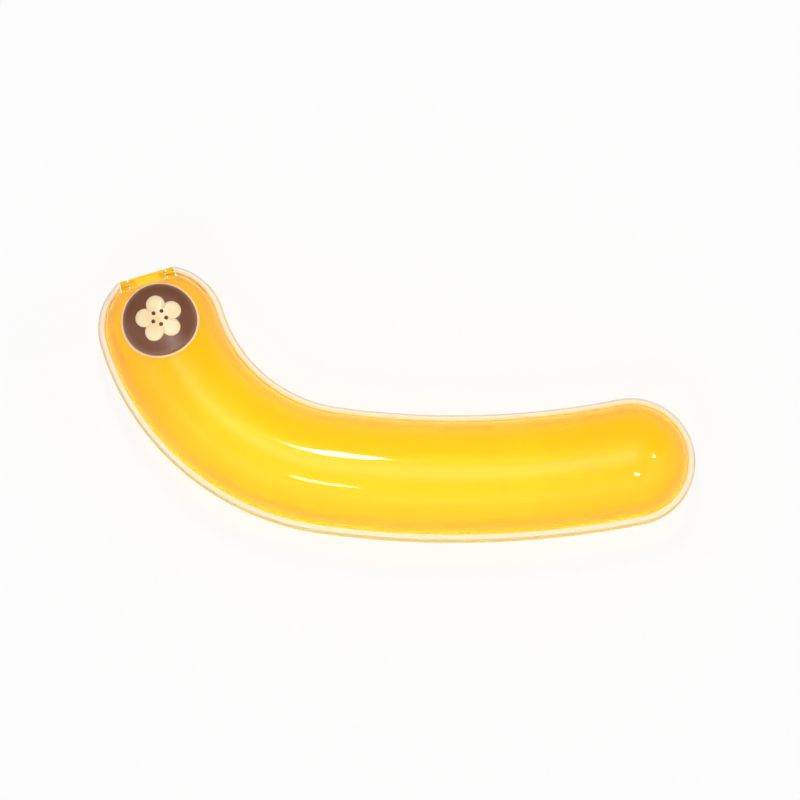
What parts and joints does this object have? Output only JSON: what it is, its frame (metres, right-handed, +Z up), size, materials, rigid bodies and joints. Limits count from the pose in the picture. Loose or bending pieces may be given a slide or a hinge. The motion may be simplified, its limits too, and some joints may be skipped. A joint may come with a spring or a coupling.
{
  "type": "banana carrying case",
  "caption": "Banana-shaped hard clamshell case in translucent amber plastic with an end hinge, a soft rim seal and a round raised badge, made to carry a single fruit.",
  "frame": {"origin": "on the ground under the middle of the case's outline, with the case lying on its base", "axes": "+X along the case's length, away from the hinge end; +Z up through the lid; the hollow of the curve faces +Y"},
  "size_m": [0.223, 0.1042, 0.047],
  "materials": {
    "amber_plastic": "glossy, clear amber, injection moulded",
    "seal_rubber": "milky translucent, satin",
    "pin_steel": "drawn wire",
    "cream_plastic": "satin",
    "brown_plastic": "satin",
    "dark_plastic": "glossy"
  },
  "bodies": {
    "base": {"base_shell": "amber_plastic", "rim_seal": "seal_rubber", "hinge_pin_left": "pin_steel", "hinge_pin_right": "pin_steel"},
    "lid": {"lid_shell": "amber_plastic", "badge_plate": "cream_plastic", "badge_cap": "brown_plastic", "badge_flower": "cream_plastic", "badge_seeds": "dark_plastic"}
  },
  "joints": [
    {"name": "lid_hinge", "type": "hinge", "parent": "base", "child": "lid", "pos_m": [-0.09314, 0.04701, 0.02195], "axis": [-0.9573, -0.289, 0], "range_deg": [0, 120]}
  ]
}
